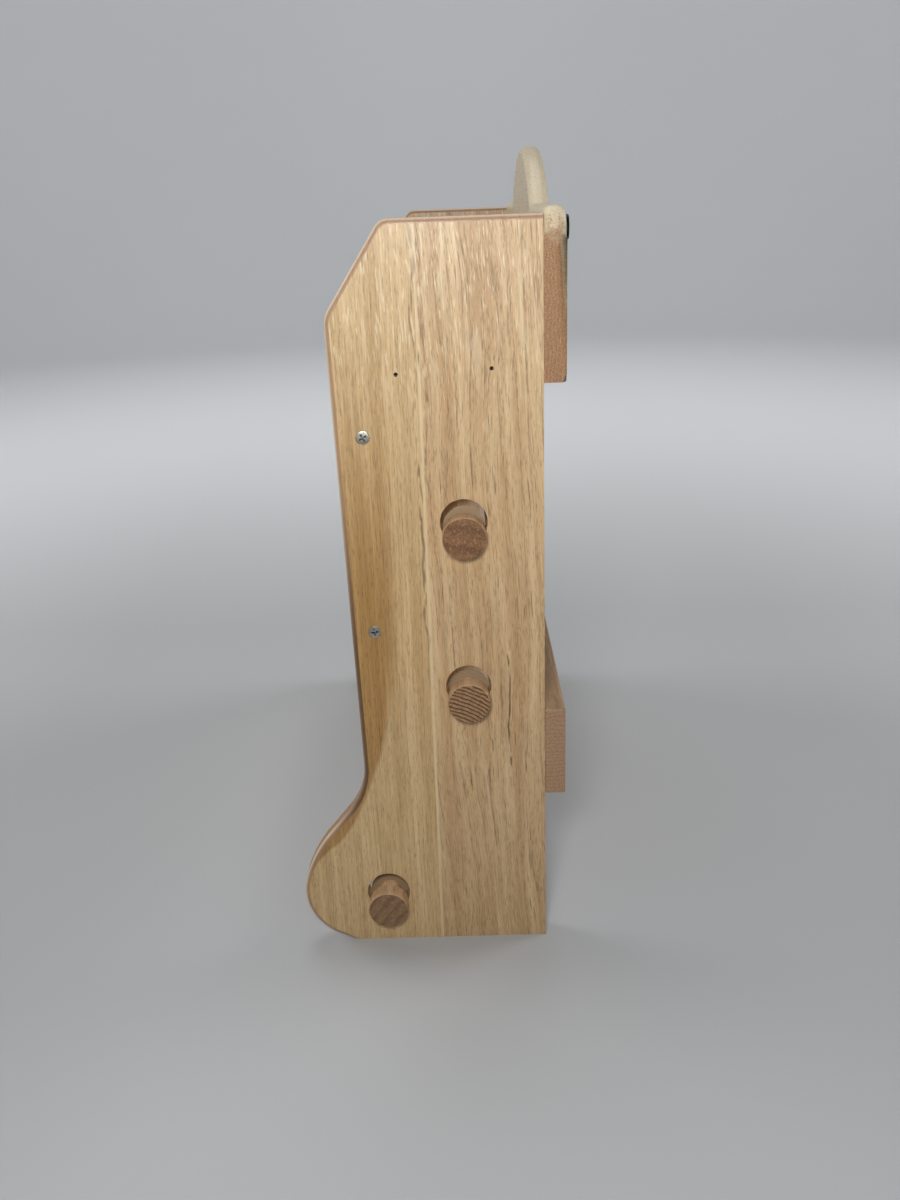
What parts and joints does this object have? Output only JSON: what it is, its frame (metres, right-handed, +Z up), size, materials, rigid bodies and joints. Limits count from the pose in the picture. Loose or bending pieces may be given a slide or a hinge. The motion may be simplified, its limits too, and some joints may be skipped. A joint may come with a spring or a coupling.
{
  "type": "roll dispenser rack",
  "caption": "Wall-hung wooden rack with a spice shelf, an arched back board, two hinged tear flaps with saw-tooth cutters and rods for foil, film and kitchen roll.",
  "frame": {"origin": "middle of the bounding box in plan, at the foot of the side panels", "axes": "+Z up; -Y towards the user, +Y towards the wall; +X to the right of someone facing the front"},
  "size_m": [0.35, 0.1354, 0.389],
  "materials": {
    "varnished_hardwood": "clear satin varnish over sanded pale hardwood, honey brown, darker on rounded edges and end grain",
    "turned_hardwood": "turned and sanded, pinkish tan along the grain, brown end grain",
    "zinc_steel": "dull zinc plate",
    "cutter_steel": "bright cold-rolled strip",
    "black_steel": "black japanned steel"
  },
  "bodies": {
    "frame": {"side_panel_right": "varnished_hardwood", "side_panel_left": "varnished_hardwood", "back_board_upper": "varnished_hardwood", "back_rail_lower": "varnished_hardwood", "spice_shelf": "varnished_hardwood", "shelf_lip": "varnished_hardwood", "hanger_plate_right": "black_steel", "hanger_plate_left": "black_steel", "back_board_screw_left_1": "zinc_steel", "back_board_screw_left_2": "zinc_steel", "back_board_screw_right_1": "zinc_steel", "back_board_screw_right_2": "zinc_steel", "hanger_screw_left_1": "black_steel", "hanger_screw_left_2": "black_steel", "hanger_screw_right_1": "black_steel", "hanger_screw_right_2": "black_steel", "lip_brad_1": "zinc_steel", "lip_brad_2": "zinc_steel", "lip_brad_3": "zinc_steel", "rail_screw_left_1": "zinc_steel", "rail_screw_left_2": "zinc_steel", "rail_screw_right_1": "zinc_steel", "rail_screw_right_2": "zinc_steel", "shelf_brad_left_1": "zinc_steel", "shelf_brad_left_2": "zinc_steel", "shelf_brad_right_1": "zinc_steel", "shelf_brad_right_2": "zinc_steel"},
    "upper_flap": {"tear_flap_upper": "varnished_hardwood", "cutter_upper": "cutter_steel", "cutter_tack_upper_1": "zinc_steel", "cutter_tack_upper_2": "zinc_steel", "cutter_tack_upper_3": "zinc_steel", "pivot_screw_upper_right": "zinc_steel", "pivot_screw_upper_left": "zinc_steel"},
    "lower_flap": {"tear_flap_lower": "varnished_hardwood", "cutter_lower": "cutter_steel", "cutter_tack_lower_1": "zinc_steel", "cutter_tack_lower_2": "zinc_steel", "cutter_tack_lower_3": "zinc_steel", "pivot_screw_lower_right": "zinc_steel", "pivot_screw_lower_left": "zinc_steel"},
    "foil_rod": {"rod_foil": "turned_hardwood"},
    "film_rod": {"rod_film": "turned_hardwood"},
    "kitchen_roll_rod": {"rod_kitchen_roll": "turned_hardwood"}
  },
  "joints": [
    {"name": "upper_flap_swing", "type": "hinge", "parent": "frame", "child": "upper_flap", "pos_m": [0, -0.0235, 0.266], "axis": [-1, 0, 0], "range_deg": [-28, 140]},
    {"name": "lower_flap_swing", "type": "hinge", "parent": "frame", "child": "lower_flap", "pos_m": [0, -0.0235, 0.1735], "axis": [-1, 0, 0], "range_deg": [-33, 140]},
    {"name": "foil_rod_spin", "type": "hinge", "parent": "frame", "child": "foil_rod", "pos_m": [0, 0.02, 0.22065], "axis": [1, 0, 0], "continuous": true},
    {"name": "film_rod_spin", "type": "hinge", "parent": "frame", "child": "film_rod", "pos_m": [0, 0.02, 0.1389], "axis": [1, 0, 0], "continuous": true},
    {"name": "kitchen_roll_rod_spin", "type": "hinge", "parent": "frame", "child": "kitchen_roll_rod", "pos_m": [0, -0.0245, 0.02365], "axis": [1, 0, 0], "continuous": true}
  ]
}
